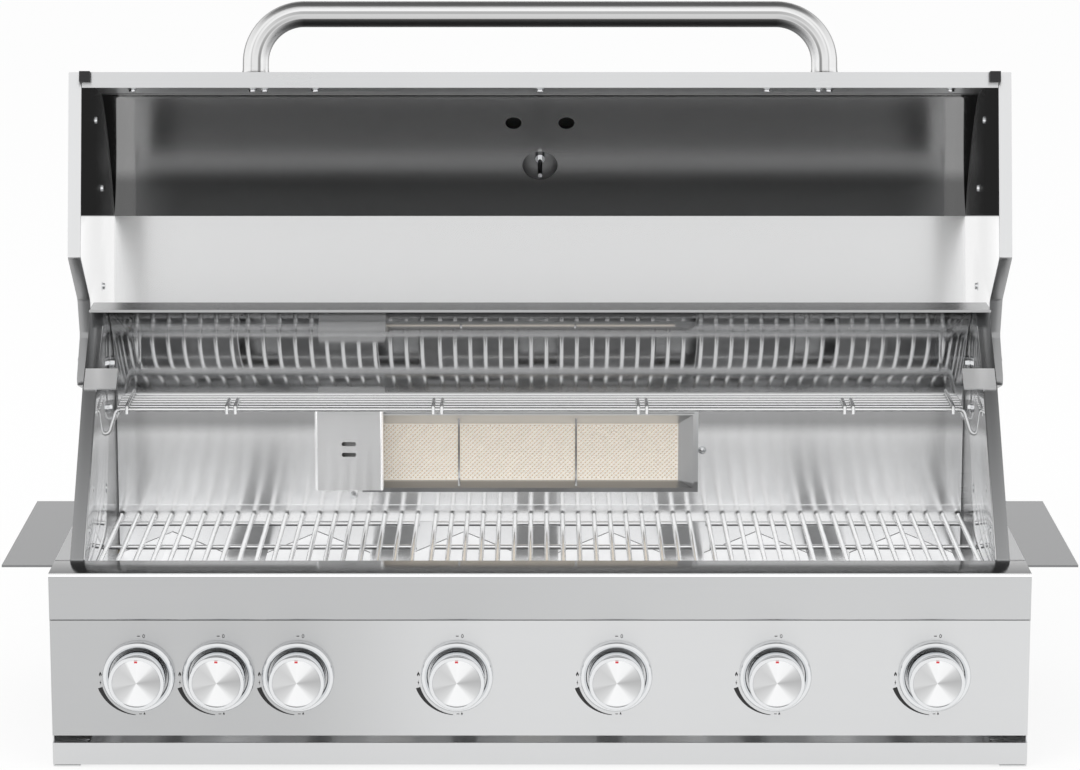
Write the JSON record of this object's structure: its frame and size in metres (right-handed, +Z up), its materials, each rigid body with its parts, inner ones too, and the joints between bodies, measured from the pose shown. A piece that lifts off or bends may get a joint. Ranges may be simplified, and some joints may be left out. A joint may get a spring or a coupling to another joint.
{
  "type": "built-in gas grill",
  "caption": "Built-in gas grill head with an open roll-back lid, steel knobs in chrome bezels, wire cooking grates, warming rack, rear infrared burner and slide-out drip tray.",
  "frame": {"origin": "under the middle of the part as it stands with its lid open, on the plane that its feet rest on", "axes": "+Z up, +X to the right of someone facing the knobs, +Y from the knobs to the back"},
  "size_m": [1.196, 0.6494, 0.8133],
  "materials": {
    "brushed_steel": "horizontally brushed stainless steel",
    "dark_steel": "satin stainless steel that reflects darker surroundings",
    "polished_steel": "mirror-polished stainless steel",
    "liner_steel": "bright-rolled stainless steel lid liner",
    "rod_steel": "drawn stainless steel rod",
    "chrome": "bright chrome plating",
    "brass": "machined brass",
    "ceramic": "unglazed cream ceramic with fine holes",
    "rubber": "matte black rubber"
  },
  "bodies": {
    "base": {"front_rail": "brushed_steel", "control_panel": "brushed_steel", "back_panel": "brushed_steel", "left_side_panel": "brushed_steel", "right_side_panel": "brushed_steel", "left_spit_bracket": "brushed_steel", "right_spit_bracket": "brushed_steel", "firebox_front": "brushed_steel", "main_burner_1": "brushed_steel", "main_burner_2": "brushed_steel", "main_burner_3": "brushed_steel", "main_burner_4": "brushed_steel", "main_burner_5": "brushed_steel", "main_burner_6": "brushed_steel", "left_cheek": "dark_steel", "right_cheek": "dark_steel", "left_hanger": "dark_steel", "right_hanger": "dark_steel", "firebox_back": "polished_steel", "rear_rail": "polished_steel", "rear_burner_frame": "polished_steel", "rear_burner_cover": "polished_steel", "heat_tent_1": "polished_steel", "heat_tent_2": "polished_steel", "heat_tent_3": "polished_steel", "heat_tent_4": "polished_steel", "heat_tent_5": "polished_steel", "heat_tent_6": "polished_steel", "warming_rack": "rod_steel", "left_hinge_pin": "chrome", "right_hinge_pin": "chrome", "knob_bezel_1": "chrome", "knob_bezel_2": "chrome", "knob_bezel_3": "chrome", "knob_bezel_4": "chrome", "knob_bezel_5": "chrome", "knob_bezel_6": "chrome", "knob_bezel_7": "chrome", "gas_manifold": "brass", "rear_gas_pipe": "brass", "rear_burner_tile": "ceramic"},
    "lid": {"lid_skin": "brushed_steel", "lid_liner": "liner_steel", "left_lid_end": "brushed_steel", "right_lid_end": "brushed_steel", "left_lid_bumper": "rubber", "right_lid_bumper": "rubber", "lid_handle": "chrome", "thermometer": "chrome"},
    "drip_tray": {"drip_tray": "brushed_steel"},
    "left_grate": {"left_grate": "rod_steel"},
    "centre_grate": {"centre_grate": "rod_steel"},
    "right_grate": {"right_grate": "rod_steel"},
    "burner_knob_1": {"burner_knob_1": "chrome"},
    "burner_knob_2": {"burner_knob_2": "chrome"},
    "burner_knob_3": {"burner_knob_3": "chrome"},
    "burner_knob_4": {"burner_knob_4": "chrome"},
    "burner_knob_5": {"burner_knob_5": "chrome"},
    "burner_knob_6": {"burner_knob_6": "chrome"},
    "burner_knob_7": {"burner_knob_7": "chrome"}
  },
  "joints": [
    {"name": "lid_hinge", "type": "hinge", "parent": "base", "child": "lid", "pos_m": [0, 0.06884, 0.3847], "axis": [1, 0, 0], "range_deg": [0, 104.2]},
    {"name": "drip_tray_slide", "type": "slide", "parent": "base", "child": "drip_tray", "axis": [0, -1, 0], "range_m": [0, 0.35]},
    {"name": "left_grate_lift", "type": "slide", "parent": "base", "child": "left_grate", "axis": [0, 0, 1], "range_m": [0, 0.025]},
    {"name": "centre_grate_lift", "type": "slide", "parent": "base", "child": "centre_grate", "axis": [0, 0, 1], "range_m": [0, 0.09]},
    {"name": "right_grate_lift", "type": "slide", "parent": "base", "child": "right_grate", "axis": [0, 0, 1], "range_m": [0, 0.09]},
    {"name": "burner_knob_1_turn", "type": "hinge", "parent": "base", "child": "burner_knob_1", "pos_m": [-0.4426, -0.29066, 0.1051], "axis": [0, -1, 0], "range_deg": [0, 180]},
    {"name": "burner_knob_2_turn", "type": "hinge", "parent": "base", "child": "burner_knob_2", "pos_m": [-0.3548, -0.29066, 0.1051], "axis": [0, -1, 0], "range_deg": [0, 180]},
    {"name": "burner_knob_3_turn", "type": "hinge", "parent": "base", "child": "burner_knob_3", "pos_m": [-0.267, -0.29066, 0.1051], "axis": [0, -1, 0], "range_deg": [0, 180]},
    {"name": "burner_knob_4_turn", "type": "hinge", "parent": "base", "child": "burner_knob_4", "pos_m": [-0.0914, -0.29066, 0.1051], "axis": [0, -1, 0], "range_deg": [0, 180]},
    {"name": "burner_knob_5_turn", "type": "hinge", "parent": "base", "child": "burner_knob_5", "pos_m": [0.0842, -0.29066, 0.1051], "axis": [0, -1, 0], "range_deg": [0, 180]},
    {"name": "burner_knob_6_turn", "type": "hinge", "parent": "base", "child": "burner_knob_6", "pos_m": [0.2598, -0.29066, 0.1051], "axis": [0, -1, 0], "range_deg": [0, 180]},
    {"name": "burner_knob_7_turn", "type": "hinge", "parent": "base", "child": "burner_knob_7", "pos_m": [0.4354, -0.29066, 0.1051], "axis": [0, -1, 0], "range_deg": [0, 180]}
  ]
}
